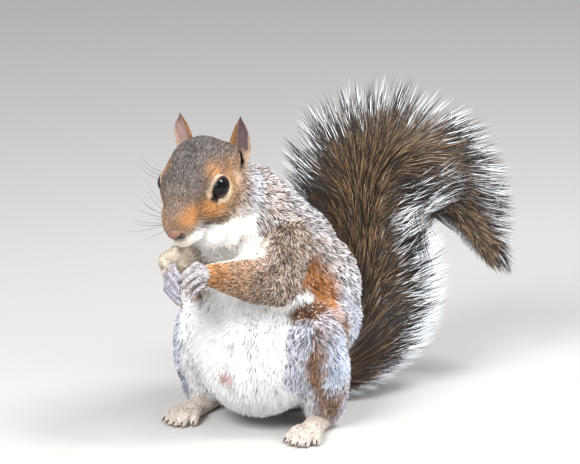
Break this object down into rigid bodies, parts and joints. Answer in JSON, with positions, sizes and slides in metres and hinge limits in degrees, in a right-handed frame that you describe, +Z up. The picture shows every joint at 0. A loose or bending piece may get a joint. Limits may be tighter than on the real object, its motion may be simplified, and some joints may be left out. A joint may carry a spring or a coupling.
{
  "type": "grey squirrel model",
  "caption": "Life-size grey squirrel sitting up on its hind feet, hands together at its mouth, with its bushy tail raised behind it and curled over.",
  "frame": {"origin": "middle of the bounding box, at the floor", "axes": "+Z up, -Y the way the animal faces, +X its left side"},
  "size_m": [0.1418, 0.2386, 0.1897],
  "materials": {
    "grey_coat": "grizzled fur",
    "white_coat": "soft white fur",
    "tail_coat": "long banded fur",
    "bare_skin": "bare skin and very short hair",
    "eye": "wet and glossy"
  },
  "bodies": {
    "root": {"head": "grey_coat", "neck": "grey_coat", "chest": "white_coat", "abdomen": "white_coat", "upper_arm_l": "grey_coat", "upper_arm_r": "grey_coat", "forearm_l": "grey_coat", "forearm_r": "grey_coat", "hand_l": "bare_skin", "hand_r": "bare_skin", "thigh_l": "grey_coat", "thigh_r": "grey_coat", "shank_l": "grey_coat", "shank_r": "grey_coat", "foot_l": "bare_skin", "foot_r": "bare_skin", "ear_l": "bare_skin", "ear_r": "bare_skin", "eye_l": "eye", "eye_r": "eye", "nose": "bare_skin", "tail_1": "tail_coat", "tail_2": "tail_coat", "tail_3": "tail_coat", "tail_4": "tail_coat", "tail_5": "tail_coat", "tail_6": "tail_coat"}
  },
  "joints": []
}
